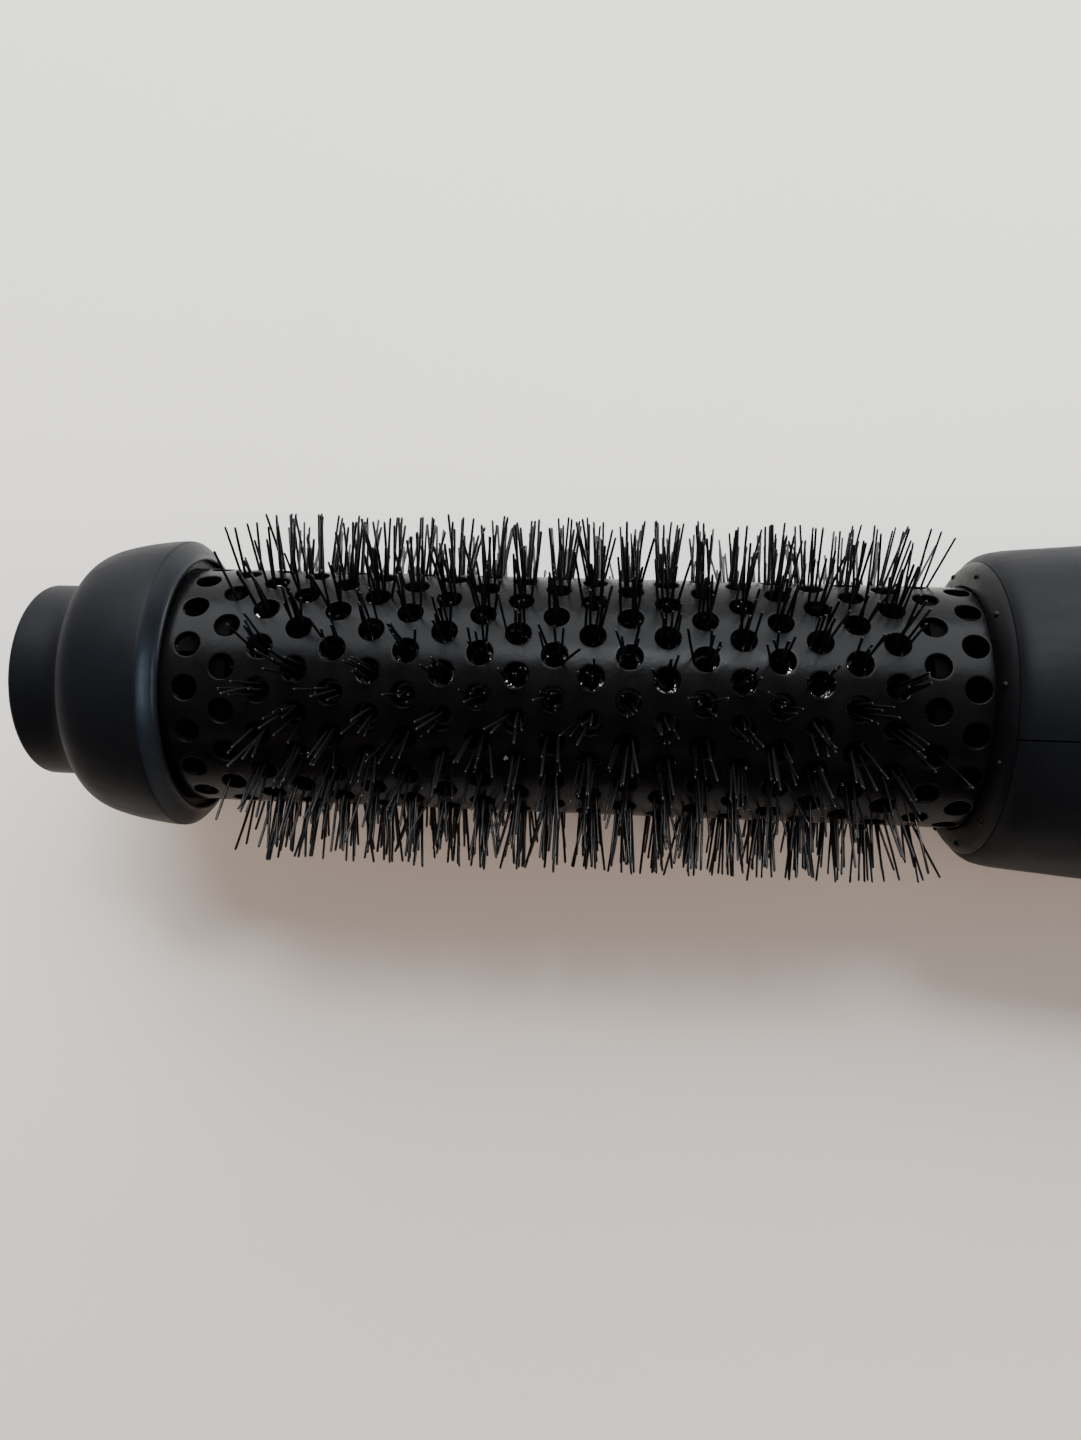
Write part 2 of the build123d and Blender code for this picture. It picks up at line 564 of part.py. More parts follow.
DIODE_COUNT, DIODE_PITCH, DIODE_X = 3, 5.0, 168.0
DIODE_R, DIODE_LENGTH = 1.35, 5.0
with BuildPart() as rectifier_diodes:
    with Locations(*[flat_plane(DIODE_X + DIODE_PITCH * k, board_back + DIODE_R + SNUG, -6)
                     for k in range(DIODE_COUNT)]):
        Cylinder(DIODE_R, DIODE_LENGTH)
save("rectifier_diodes", rectifier_diodes)

board_front = BOARD_Y - SNUG
SWITCH_TOP_Y = -8.0
SWITCH_SIZE = (20.0, 8.0)
with BuildPart() as slide_switch:
    with Locations(side_plane(pocket_x, (board_front + SWITCH_TOP_Y) / 2)):
        Box(*SWITCH_SIZE, board_front - SWITCH_TOP_Y)
    with Locations(side_plane(pocket_x, SWITCH_TOP_Y)):
        Box(*STEM_SLOT, 7, mode=Mode.SUBTRACT)
save("slide_switch", slide_switch)

with BuildPart() as cool_switch:
    with Locations(side_plane(BUTTON_X, (board_front + SPRING_SEAT_Y) / 2)):
        Box(8, 8, board_front - SPRING_SEAT_Y)
    with Locations(side_plane(BUTTON_X, SPRING_SEAT_Y)):
        Cylinder(BUTTON_STEM_R + 0.3, 7.5, mode=Mode.SUBTRACT)
save("cool_switch", cool_switch)

# ---- air inlet, gland and screws ----------------------------------------------------------------------
FILTER_ENDS = (222.5, 237.5)
FILTER_INNER_R, FILTER_OUTER_R = 16.6, 17.3
WINDOW_COUNT = 30               # staggered in three rings
with BuildPart() as lint_filter:
    revolve(section((FILTER_ENDS[0], FILTER_INNER_R), (FILTER_ENDS[1], FILTER_INNER_R),
                    (FILTER_ENDS[1], FILTER_OUTER_R), (FILTER_ENDS[0], FILTER_OUTER_R)), axis=BRUSH_AXIS)
    filter_x = sum(FILTER_ENDS) / 2
    with Locations(*[radial_plane(filter_x + 4 * (k % 3 - 1), 360 / WINDOW_COUNT * k, FILTER_OUTER_R)
                     for k in range(WINDOW_COUNT)]):
        Box(3.0, 2.0, 4, mode=Mode.SUBTRACT)
save("lint_filter", lint_filter)

GLAND_START = 240.5
FLANGE_ENDS, GLAND_FLANGE_R = (243.0, 247.0), 8.6
with BuildPart() as cord_gland:
    revolve(section((GLAND_START, GLAND_BORE_R), (GLAND_X, GLAND_BORE_R), (GLAND_X, GLAND_R - 1.1),
                    (GLAND_X - 1.2, GLAND_R), (FLANGE_ENDS[1], GLAND_R), (FLANGE_ENDS[1], GLAND_FLANGE_R),
                    (FLANGE_ENDS[0], GLAND_FLANGE_R), (FLANGE_ENDS[0], GLAND_R), (GLAND_START, GLAND_R)),
            axis=BRUSH_AXIS)
save("cord_gland", cord_gland)

SHANK_LENGTH = 15.0
HEAD_R, HEAD_THICK = 2.4, 1.7
HEAD_TOP_Y = HEAD_SEAT_Y - SNUG - HEAD_THICK
SLOT_SIZE = (2.6, 0.7, 1.2)
with BuildPart() as shell_screws:
    with Locations(*screw_planes(HEAD_SEAT_Y - 0.25 + SHANK_LENGTH / 2)):
        Cylinder(SCREW_R, SHANK_LENGTH)
    with Locations(*screw_planes(HEAD_SEAT_Y - SNUG - HEAD_THICK / 2)):
        Cylinder(HEAD_R, HEAD_THICK)
    with Locations(*screw_planes(HEAD_TOP_Y)):
        Box(*SLOT_SIZE, mode=Mode.SUBTRACT)
        Box(*SLOT_SIZE, rotation=(0, 0, 90), mode=Mode.SUBTRACT)
save("shell_screws", shell_screws)
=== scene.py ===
"""Looks of a hot-air styling brush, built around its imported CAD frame.

Lengths of the brush are written in mm and multiplied by MM. Bump heights, lamps and the floor are in metres,
and noise scales are per metre.
"""
import json
import math
import random

import bmesh
import bpy
from mathutils import Matrix, Vector


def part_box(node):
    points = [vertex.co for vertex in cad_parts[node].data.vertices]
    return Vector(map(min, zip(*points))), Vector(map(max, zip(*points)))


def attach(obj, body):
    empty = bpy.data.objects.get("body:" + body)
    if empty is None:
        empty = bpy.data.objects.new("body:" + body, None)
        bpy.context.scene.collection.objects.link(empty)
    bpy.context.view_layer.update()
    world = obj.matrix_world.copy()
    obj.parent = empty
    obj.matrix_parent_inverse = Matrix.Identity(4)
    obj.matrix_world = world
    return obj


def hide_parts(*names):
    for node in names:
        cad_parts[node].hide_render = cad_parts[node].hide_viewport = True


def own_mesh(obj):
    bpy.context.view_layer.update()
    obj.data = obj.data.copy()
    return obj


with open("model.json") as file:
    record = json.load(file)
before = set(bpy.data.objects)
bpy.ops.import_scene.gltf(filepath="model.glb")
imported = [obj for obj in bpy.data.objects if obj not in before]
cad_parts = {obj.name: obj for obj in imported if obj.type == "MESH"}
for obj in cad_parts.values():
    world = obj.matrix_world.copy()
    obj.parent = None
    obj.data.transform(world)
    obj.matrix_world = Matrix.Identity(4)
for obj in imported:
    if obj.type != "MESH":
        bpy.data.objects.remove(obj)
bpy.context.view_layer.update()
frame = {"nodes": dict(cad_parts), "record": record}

MM = 0.001
SEED = 31

# ---- places read from the frame -------------------------------------------------------------------------
BARREL_LOW_END, BARREL_HIGH_END = -55.5, 57.8      # ends of the barrel tube, from the barrel's middle
tube_low, tube_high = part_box("barrel_tube")
BARREL_X = tube_low.x / MM - BARREL_LOW_END
AXIS_Z = (tube_low.z + tube_high.z) / 2 / MM
BARREL_R = (tube_high.z - tube_low.z) / 2 / MM
BARREL_WALL = 0.8

RING_COUNT, HOLES_PER_RING = 22, 18
RING_PITCH = 4.62
HOLE_R = 1.62
HOLE_STEP = 360 / HOLES_PER_RING
FIRST_HOLE = 3.25
FIRST_TUFT_RING, LAST_TUFT_RING = 3, 20
BRISTLE_R = 24.0
NODE_ROWS = 2


def ring_x(ring):
    return (ring - (RING_COUNT + 1) / 2) * RING_PITCH


def hole_angle(ring, row):
    return FIRST_HOLE + HOLE_STEP * row + (HOLE_STEP / 2 if ring % 2 == 0 else 0)


def on_brush(x, angle, radius):
    """Point in metres, from a place along the brush, an angle from +Z towards -Y, and a radius, in mm."""
    a = math.radians(angle)
    return Vector((BARREL_X + x, -radius * math.sin(a), AXIS_Z + radius * math.cos(a))) * MM


# ---- camera ---------------------------------------------------------------------------------------------
def add_camera():
    """Looks nearly straight down at the barrel from about 145 mm, as a phone held over it does."""
    data = bpy.data.cameras.new("camera")
    data.sensor_width = 36
    data.lens = 26.54
    data.clip_start = 0.01
    camera = bpy.data.objects.new("camera", data)
    right = Vector((0.99733, 0.03394, -0.06461))
    up = Vector((-0.03386, 0.99942, 0.00231))
    back = right.cross(up)
    turn = Matrix((right, up, back)).transposed().to_4x4()
    place = Vector((BARREL_X + 4.684, -3.483, AXIS_Z + 145.372)) * MM
    camera.matrix_world = Matrix.Translation(place) @ turn
    bpy.context.scene.collection.objects.link(camera)
    bpy.context.scene.camera = camera


add_camera()


# ---- materials ------------------------------------------------------------------------------------------
class Finish:
    """A Principled material with short calls for its procedural detail."""

    def __init__(self, name, **sockets):
        self.material = bpy.data.materials.new(name)
        self.material.use_nodes = True
        self.nodes = self.material.node_tree.nodes
        self.links = self.material.node_tree.links
        self.shader = self.nodes["Principled BSDF"]
        self.place = self.nodes.new("ShaderNodeTexCoord").outputs["Object"]
        self.bump = None
        for socket, value in sockets.items():
            self.shader.inputs[socket.replace("_", " ")].default_value = value

    def noise(self, scale, detail=3, roughness=0.55, stretch=None):
        """Noise with features about 1/scale metres across."""
        node = self.nodes.new("ShaderNodeTexNoise")
        node.inputs["Scale"].default_value = scale
        node.inputs["Detail"].default_value = detail
        node.inputs["Roughness"].default_value = roughness
        self.links.new(self.mapped(stretch), node.inputs["Vector"])
        return node.outputs["Fac"]

    def cells(self, scale, feature="F1", stretch=None):
        node = self.nodes.new("ShaderNodeTexVoronoi")
        node.feature = feature
        node.inputs["Scale"].default_value = scale
        self.links.new(self.mapped(stretch), node.inputs["Vector"])
        return node.outputs["Distance"]

    def mapped(self, stretch):
        if stretch is None:
            return self.place
        node = self.nodes.new("ShaderNodeMapping")
        node.inputs["Scale"].default_value = stretch
        self.links.new(self.place, node.inputs["Vector"])
        return node.outputs["Vector"]

    def ramp(self, source, stops):
        """Colours, or greys given as numbers, at positions along a factor."""
        node = self.nodes.new("ShaderNodeValToRGB")
        while len(node.color_ramp.elements) < len(stops):
            node.color_ramp.elements.new(0.5)
        for element, (position, colour) in zip(node.color_ramp.elements, stops):
            element.position = position
            grey = isinstance(colour, (int, float))
            element.color = (colour, colour, colour, 1) if grey else (*colour, 1)
        self.links.new(source, node.inputs["Fac"])
        return node.outputs["Color"]

    def blend(self, factor, first, second, mode="MIX"):
        node = self.nodes.new("ShaderNodeMix")
        node.data_type = "RGBA"
        node.blend_type = mode
        for socket, value in ((node.inputs[0], factor), (node.inputs[6], first), (node.inputs[7], second)):
            if isinstance(value, bpy.types.NodeSocket):
                self.links.new(value, socket)
            elif socket == node.inputs[0]:
                socket.default_value = value
            else:
                socket.default_value = (*value, 1)
        return node.outputs[2]

    def set(self, socket, source):
        self.links.new(source, self.shader.inputs[socket])

    def add_bump(self, height, distance, strength=1.0):
        """Bump of a height in metres, added to any earlier one."""
        node = self.nodes.new("ShaderNodeBump")
        node.inputs["Strength"].default_value = strength
        node.inputs["Distance"].default_value = distance
        self.links.new(height, node.inputs["Height"])
        if self.bump is not None:
            self.links.new(self.bump, node.inputs["Normal"])
        self.bump = node.outputs["Normal"]
        self.links.new(self.bump, self.shader.inputs["Normal"])


def soft_touch_finish(name, dark, light, roughness):
    """Rubbery paint: fine even grain, faint handling marks, and a few light specks of lint."""
    finish = Finish(name, Specular_IOR_Level=0.075, Sheen_Weight=0.01, Sheen_Roughness=0.5)
    cloud = finish.noise(70, 4, 0.6)
    grain = finish.noise(5200, 2, 0.5)
    lint = finish.ramp(finish.cells(900), [(0.0, 1.0), (0.035, 0.0)])
    patch = finish.ramp(finish.noise(210, 2), [(0.60, 0.0), (0.72, 1.0)])
    speck = finish.blend(1.0, lint, patch, "MULTIPLY")
    body = finish.ramp(cloud, [(0.3, dark), (0.7, light)])
    finish.set("Base Color", finish.blend(speck, body, (0.06, 0.06, 0.062)))
    rub = finish.noise(240, 5, 0.65, stretch=(0.35, 1, 1))
    finish.set("Roughness", finish.ramp(rub, [(0.3, roughness - 0.06), (0.7, roughness + 0.07)]))
    finish.add_bump(grain, 0.00003, 0.55)
    finish.add_bump(finish.noise(900, 3), 0.00002, 0.35)
    return finish.material


def satin_finish():
    """The cap's bevel: the same plastic left satin, a little bluer where it catches the light."""
    finish = Finish("satin_bevel", Specular_IOR_Level=0.14)
    tone = finish.noise(80, 3)
    finish.set("Base Color", finish.ramp(tone, [(0.3, (0.003, 0.004, 0.006)), (0.7, (0.005, 0.0065, 0.010))]))
    finish.set("Roughness", finish.ramp(finish.noise(300, 4), [(0.3, 0.30), (0.7, 0.42)]))
    finish.add_bump(finish.noise(4200, 2), 0.00002, 0.4)
    return finish.material


def barrel_finish():
    """Black coating on drawn metal: orange peel, handling haze and fine dust."""
    finish = Finish("barrel_coating", Specular_IOR_Level=0.07, Specular_Tint=(0.90, 0.95, 1.0, 1.0))
    cloud = finish.noise(160, 4)
    body = finish.ramp(cloud, [(0.3, (0.0018, 0.0018, 0.0022)), (0.7, (0.0034, 0.0034, 0.0038))])
    dust = finish.ramp(finish.cells(1700), [(0.0, 1.0), (0.05, 0.0)])
    patch = finish.ramp(finish.noise(320, 3), [(0.55, 0.0), (0.68, 0.6)])
    speck = finish.blend(1.0, dust, patch, "MULTIPLY")
    finish.set("Base Color", finish.blend(speck, body, (0.03, 0.03, 0.03)))
    haze = finish.noise(420, 5, 0.7)
    finish.set("Roughness", finish.ramp(haze, [(0.3, 0.22), (0.72, 0.34)]))
    finish.add_bump(finish.noise(1500, 2, 0.45), 0.00004, 0.35)
    finish.add_bump(finish.noise(5200, 2), 0.000008, 0.4)
    return finish.material


def bristle_finish():
    """Extruded black nylon: each filament its own shade and shine, drawn lines along it."""
    finish = Finish("bristle_nylon", Specular_IOR_Level=0.25)
    island = finish.nodes.new("ShaderNodeNewGeometry").outputs["Random Per Island"]
    body = finish.ramp(island, [(0.0, (0.002, 0.002, 0.0025)), (1.0, (0.007, 0.007, 0.008))])
    worn = finish.ramp(finish.noise(900, 3), [(0.55, 0.0), (0.8, 0.35)])
    finish.set("Base Color", finish.blend(worn, body, (0.015, 0.015, 0.016)))
    finish.set("Roughness", finish.ramp(island, [(0.0, 0.14), (1.0, 0.30)]))
    finish.add_bump(finish.noise(3800, 2), 0.00001, 0.4)
    return finish.material


def moulded_finish(name, dark, light, roughness, grain=2600, depth=0.00002, specular=0.5):
    """Moulded plastic with a spark-eroded grain and slow changes of tone."""
    finish = Finish(name, Specular_IOR_Level=specular)
    finish.set("Base Color", finish.ramp(finish.noise(110, 4), [(0.3, dark), (0.7, light)]))
    wear = finish.noise(500, 4)
    finish.set("Roughness", finish.ramp(wear, [(0.3, roughness - 0.05), (0.7, roughness + 0.06)]))
    finish.add_bump(finish.noise(grain, 3), depth, 0.5)
    return finish.material


def metal_finish(name, dark, light, roughness, stretch=(1, 12, 12)):
    """Drawn or plated metal with lines along one way and a few dull spots."""
    finish = Finish(name, Metallic=1.0)
    lines = finish.noise(700, 4, 0.6, stretch=stretch)
    finish.set("Base Color", finish.ramp(lines, [(0.3, dark), (0.7, light)]))
    wear = finish.noise(350, 4)
    finish.set("Roughness", finish.ramp(wear, [(0.3, roughness - 0.07), (0.7, roughness + 0.1)]))
    finish.add_bump(lines, 0.000015, 0.4)
    return finish.material


def mica_finish():
    """Pressed mica: flaky layers, glinting in places."""
    finish = Finish("mica", Specular_IOR_Level=0.6)
    flakes = finish.cells(900, "SMOOTH_F1", stretch=(1, 0.7, 1.3))
    finish.set("Base Color", finish.ramp(flakes, [(0.1, (0.50, 0.45, 0.34)), (0.7, (0.68, 0.63, 0.50))]))
    finish.set("Roughness", finish.ramp(finish.noise(900, 3), [(0.35, 0.25), (0.65, 0.6)]))
    finish.add_bump(flakes, 0.00005, 0.5)
    return finish.material


def board_finish():
    """Green solder mask over faint copper runs."""
    finish = Finish("board", Specular_IOR_Level=0.5, Coat_Weight=0.3, Coat_Roughness=0.15)
    runs = finish.cells(420, "DISTANCE_TO_EDGE", stretch=(1, 1, 2.5))
    finish.set("Base Color", finish.ramp(runs, [(0.03, (0.03, 0.16, 0.07)), (0.06, (0.05, 0.26, 0.12))]))
    finish.set("Roughness", finish.ramp(finish.noise(700, 3), [(0.3, 0.28), (0.7, 0.42)]))
    finish.add_bump(runs, 0.00004, 0.4)
    return finish.material


def paper_finish():
    """Pale paper, very faintly mottled; painted shade makes it darker and warmer away from the window."""
    finish = Finish("floor_paper", Specular_IOR_Level=0.2)
    paper = finish.ramp(finish.noise(9, 5, 0.6), [(0.3, (0.755, 0.755, 0.73)), (0.7, (0.785, 0.785, 0.76))])
    sides = finish.nodes.new("ShaderNodeSeparateXYZ")
    finish.links.new(finish.place, sides.inputs[0])
    # Painted shade for the brush's shadow: from Y = 0.03 m to -0.09 m the paper turns darker and warmer.
    painted_shade_share = finish.nodes.new("ShaderNodeMapRange")
    painted_shade_start, painted_shade_full = 0.03, -0.09                 # along Y, in metres
    painted_shade_share.inputs["From Min"].default_value, painted_shade_share.inputs["From Max"].default_value = painted_shade_start, painted_shade_full
    finish.links.new(sides.outputs["Y"], painted_shade_share.inputs["Value"])
    finish.set("Base Color", finish.blend(painted_shade_share.outputs["Result"], paper, (0.63, 0.585, 0.545)))
    finish.set("Roughness", finish.ramp(finish.noise(60, 3), [(0.3, 0.75), (0.7, 0.9)]))
    finish.add_bump(finish.noise(1400, 4), 0.00003, 0.3)
    return finish.material


SLOT_FINISH = {
    "barrel": barrel_finish(),
    "soft_touch": soft_touch_finish("soft_touch", (0.0025, 0.0031, 0.0050), (0.0041, 0.0048, 0.0071), 0.50),
    "black_plastic": moulded_finish("black_plastic", (0.003, 0.003, 0.0035), (0.005, 0.005, 0.0055), 0.42,
                                    specular=0.2),
    "gloss_ring": moulded_finish("gloss_ring", (0.0018, 0.0018, 0.0024), (0.003, 0.003, 0.0038), 0.42,
                                 depth=0.000006, specular=0.1),
    "inner_nylon": moulded_finish("inner_nylon", (0.0006, 0.0006, 0.0008), (0.0012, 0.0012, 0.0015), 0.7,
                                  specular=0.02),
    "bristle": bristle_finish(),
    "steel": metal_finish("steel", (0.48, 0.48, 0.50), (0.66, 0.66, 0.67), 0.32),
    "mica": mica_finish(),
    "heater_wire": metal_finish("heater_wire", (0.30, 0.27, 0.25), (0.46, 0.43, 0.40), 0.4),
    "motor_can": metal_finish("motor_can", (0.42, 0.42, 0.43), (0.58, 0.58, 0.59), 0.3, stretch=(12, 1, 1)),
    "board": board_finish(),
    "component": moulded_finish("component", (0.02, 0.02, 0.022), (0.035, 0.035, 0.038), 0.45),
}


def strip_finish():
    """The bristle strips: the same nylon, glossy and slightly wavy, so that it glints through the holes."""
    finish = Finish("strip_nylon", Specular_IOR_Level=0.5, Coat_Weight=1.0, Coat_Roughness=0.06)
    tone = finish.noise(300, 3)
    body = finish.ramp(tone, [(0.3, (0.0015, 0.0015, 0.002)), (0.7, (0.004, 0.004, 0.005))])
    finish.set("Base Color", body)
    finish.set("Roughness", finish.ramp(finish.noise(700, 3), [(0.45, 0.05), (0.70, 0.4)]))
    finish.add_bump(finish.noise(650, 2), 0.00035, 0.9)
    return finish.material


def dress_cad_nodes():
    """Gives every CAD node the finish of its slot in the record, and the strips their glossier one."""
    glossy = strip_finish()
    for entry in frame["record"]["subparts"]:
        mesh = frame["nodes"][entry["node"]].data
        mesh.materials.clear()
        strip = entry["node"].startswith("bristle_strip")
        mesh.materials.append(glossy if strip else SLOT_FINISH[entry["material_slot"]])


dress_cad_nodes()


# ---- mesh helpers ---------------------------------------------------------------------------------------
LATHE_TURNS = 192


def add_mesh(mesh, slot, body, replaced=(), sharp=None):
    """Puts a mesh in the scene as a smooth-shaded piece of the same name, riding on its body."""
    mesh.materials.append(SLOT_FINISH[slot])
    mesh.shade_smooth()
    if sharp is not None:
        mesh.set_sharp_from_angle(angle=math.radians(sharp))
    piece = bpy.data.objects.new(mesh.name, mesh)
    bpy.context.scene.collection.objects.link(piece)
    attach(piece, body)
    if replaced:
        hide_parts(*replaced)
    return piece


def make_piece(name, points, faces, slot, body, replaced=(), sharp=None):
    """A piece from points in metres."""
    mesh = bpy.data.meshes.new(name)
    mesh.from_pydata(points, [], faces)
    mesh.validate()
    return add_mesh(mesh, slot, body, replaced, sharp)


def mesh_from(work, name):
    """Turns a finished bmesh into a mesh and frees it."""
    mesh = bpy.data.meshes.new(name)
    work.to_mesh(mesh)
    work.free()
    return mesh


def bridge(work, first, second):
    """Faces between two rings of as many points."""
    for k in range(len(first)):
        m = (k + 1) % len(first)
        work.faces.new((first[k], first[m], second[m], second[k]))


def lathe(name, outline, slot, body, replaced, sharp=40):
    """Closed piece turned round the brush axis from a closed outline of (along, radius) points."""
    points = [on_brush(x, 360 * k / LATHE_TURNS, r) for k in range(LATHE_TURNS) for x, r in outline]
    count = len(outline)
    faces = []
    for k in range(LATHE_TURNS):
        here, there = k * count, (k + 1) % LATHE_TURNS * count
        for i in range(count):
            j = (i + 1) % count
            faces.append((here + i, here + j, there + j, there + i))
    return make_piece(name, points, faces, slot, body, replaced, sharp)


def arc(centre, radius, start, end, steps):
    """Points on an arc in the outline plane, angles in degrees from the along direction."""
    span = [start + (end - start) * k / steps for k in range(steps + 1)]
    return [(centre[0] + radius * math.cos(math.radians(a)), centre[1] + radius * math.sin(math.radians(a)))
            for a in span]


def smooth_run(points, steps):
    """Catmull-Rom run through a few outline points."""
    run = []
    padded = [points[0], *points, points[-1]]
    for a, b, c, d in zip(padded, padded[1:], padded[2:], padded[3:]):
        for k in range(steps):
            t = k / steps
            run.append(tuple(0.5 * (2 * q + (r - p) * t + (2 * p - 5 * q + 4 * r - s) * t * t
                                    + (3 * q - p - 3 * r + s) * t ** 3) for p, q, r, s in zip(a, b, c, d)))
    return run + [points[-1]]


# ---- barrel ---------------------------------------------------------------------------------------------
WELD_DISTANCE = 0.000004                            # metres
BARREL_EDGE = 0.15                                  # bevel of the tube's two ends


def build_barrel():
    """Perforated tube: each hole has a rolled lip that turns inwards, one staggered cell to each hole."""
    side = 6                                        # mesh steps along each side of a cell
    lip = 0.14                                      # radius of the rolled lip
    inner_r = BARREL_R - BARREL_WALL
    shares = [k / side for k in range(side)]
    rim = [(-0.5 + t, -0.5) for t in shares]        # outline of a cell, as shares of its size
    rim += [(0.5, -0.5 + t) for t in shares]
    rim += [(0.5 - t, 0.5) for t in shares]
    rim += [(-0.5, 0.5 - t) for t in shares]
    mm_per_degree = math.radians(1) * BARREL_R
    outer_circle = HOLE_R + lip
    levels = [("cell", 0.0, 0.0), ("cell", 0.45, 0.0), ("cell", 0.8, 0.0)]
    levels += [("ring", outer_circle - lip * math.sin(math.radians(a)), lip * (1 - math.cos(math.radians(a))))
               for a in (0, 22, 45, 68, 90)]
    levels += [("ring", HOLE_R, BARREL_WALL + 0.25), ("ring", HOLE_R + 0.12, BARREL_WALL + 0.32)]
    levels += [("ring", HOLE_R + 0.3, BARREL_WALL), ("cell", 0.4, BARREL_WALL), ("cell", 0.0, BARREL_WALL)]
    work = bmesh.new()
    for ring in range(1, RING_COUNT + 1):
        for row in range(HOLES_PER_RING):
            x0, a0 = ring_x(ring), hole_angle(ring, row)
            rows = []
            for kind, amount, depth in levels:
                circle = outer_circle if kind == "cell" else amount
                toward = amount if kind == "cell" else 1.0
                points = []
                for u, v in rim:
                    px, ps = u * RING_PITCH, v * HOLE_STEP * mm_per_degree
                    reach = math.hypot(px, ps)
                    cx, cs = px / reach * circle, ps / reach * circle
                    qx, qs = px + (cx - px) * toward, ps + (cs - ps) * toward
                    point = on_brush(x0 + qx, a0 + qs / mm_per_degree, BARREL_R - depth)
                    points.append(work.verts.new(point))
                rows.append(points)
            for first, second in zip(rows, rows[1:]):
                bridge(work, first, second)
    steps = HOLES_PER_RING * side
    for end, edge in ((-1, BARREL_LOW_END), (1, BARREL_HIGH_END)):
        start = end * RING_COUNT / 2 * RING_PITCH
        shift = hole_angle(1 if end < 0 else RING_COUNT, 0) - HOLE_STEP / 2
        bevel_x = edge - end * BARREL_EDGE
        stations = [(start, BARREL_R), (bevel_x, BARREL_R), (edge, BARREL_R - BARREL_EDGE),
                    (edge, inner_r + BARREL_EDGE), (bevel_x, inner_r), (start, inner_r)]
        hoops = [[work.verts.new(on_brush(x, shift + 360 * k / steps, r)) for k in range(steps)]
                 for x, r in stations]
        for first, second in zip(hoops, hoops[1:]):
            bridge(work, first, second)
    bmesh.ops.remove_doubles(work, verts=work.verts, dist=WELD_DISTANCE)
    bmesh.ops.recalc_face_normals(work, faces=work.faces)
    add_mesh(mesh_from(work, "barrel_skin"), "barrel", "brush", ("barrel_tube",))


build_barrel()


# ---- bristles -------------------------------------------------------------------------------------------
FILAMENT_R = 0.185
FILAMENT_SIDES = 6
FILAMENT_ROOT_R = 12.7                              # where filaments start, from the axis
TUFT_R = 1.12                                       # spread of the roots in one hole
GOLDEN_TURN = 2.4                                   # radians from one root to the next
SHORT_TIP_R = 22.3                                  # mean reach of the shorter filaments
FLOOR_CLEARANCE = 0.0001                            # metres


class Tufts:
    """Collects filaments into one mesh."""

    def __init__(self, rng):
        self.rng = rng
        self.points = []
        self.faces = []

    def filament(self, root, heading, bend, length, radius):
        """One filament from root, in metres, with a slight even bend and a rounded tip."""
        across = heading.orthogonal().normalized()
        other = heading.cross(across)
        stations = [(0, 1.0), (0.35, 1.0), (0.7, 0.97), (0.975, 0.92), (0.995, 0.7), (1.0, 0.3)]
        first = len(self.points)
        for share, width in stations:
            centre = root + heading * (length * share) + bend * (share * share)
            for k in range(FILAMENT_SIDES):
                turn = 2 * math.pi * k / FILAMENT_SIDES
                side = across * math.cos(turn) + other * math.sin(turn)
                self.points.append(centre + side * radius * width)
        for s in range(len(stations) - 1):
            low, high = first + s * FILAMENT_SIDES, first + (s + 1) * FILAMENT_SIDES
            for k in range(FILAMENT_SIDES):
                m = (k + 1) % FILAMENT_SIDES
                self.faces.append((low + k, low + m, high + m, high + k))
        top = first + (len(stations) - 1) * FILAMENT_SIDES
        self.faces.append(tuple(range(top, top + FILAMENT_SIDES)))
        self.faces.append(tuple(reversed(range(first, first + FILAMENT_SIDES))))

    def grow(self, ring, row, offset, lean, tip_r):
        """A filament out of one hole: offset where it starts, lean in degrees, both as (along, around)."""
        x, angle = ring_x(ring), hole_angle(ring, row)
        out = on_brush(x, angle, 1) - on_brush(x, angle, 0)
        out.normalize()
        along = Vector((1, 0, 0))
        around = out.cross(along)
        root = on_brush(x, angle, FILAMENT_ROOT_R) + (along * offset[0] + around * offset[1]) * MM
        heading = out + along * math.tan(math.radians(lean[0])) + around * math.tan(math.radians(lean[1]))
        heading.normalize()
        reach = (tip_r - FILAMENT_ROOT_R) * MM / max(0.5, heading.dot(out))
        floor_room = root.z - FLOOR_CLEARANCE
        if heading.z < 0:
            reach = min(reach, floor_room / -heading.z)
        bend = (along * self.rng.gauss(0, 0.22) + around * self.rng.gauss(0, 0.22)) * MM
        if heading.z < -0.5:
            bend.z = max(bend.z, 0)
        self.filament(root, heading, bend, reach, FILAMENT_R * self.rng.uniform(0.9, 1.05) * MM)

    def tuft(self, ring, row):
        """A tuft of filaments of two lengths that fans out a little, more at the ends of the barrel."""
        rng = self.rng
        count = rng.randint(5, 7)
        end_lean = {FIRST_TUFT_RING: -3, LAST_TUFT_RING - 1: 2, LAST_TUFT_RING: 6}.get(ring, 0)
        shared = (rng.gauss(end_lean, 1.8), rng.gauss(0, 1.2))
        for k in range(count):
            distance = TUFT_R * math.sqrt((k + 0.5) / count)
            turn = GOLDEN_TURN * k + rng.uniform(-0.4, 0.4)
            offset = (distance * math.cos(turn), distance * math.sin(turn))
            lean = (shared[0] + offset[0] + rng.gauss(0, 4.2), shared[1] + offset[1] + rng.gauss(0, 2.4))
            if rng.random() < 0.06:
                lean = (lean[0] + rng.gauss(0, 8), lean[1] + rng.gauss(0, 5))
            long_one = rng.random() < 0.6
            tip_r = rng.gauss(BRISTLE_R - 0.25, 0.2) if long_one else rng.gauss(SHORT_TIP_R, 0.7)
            self.grow(ring, row, offset, lean, min(tip_r, BRISTLE_R + 0.1))


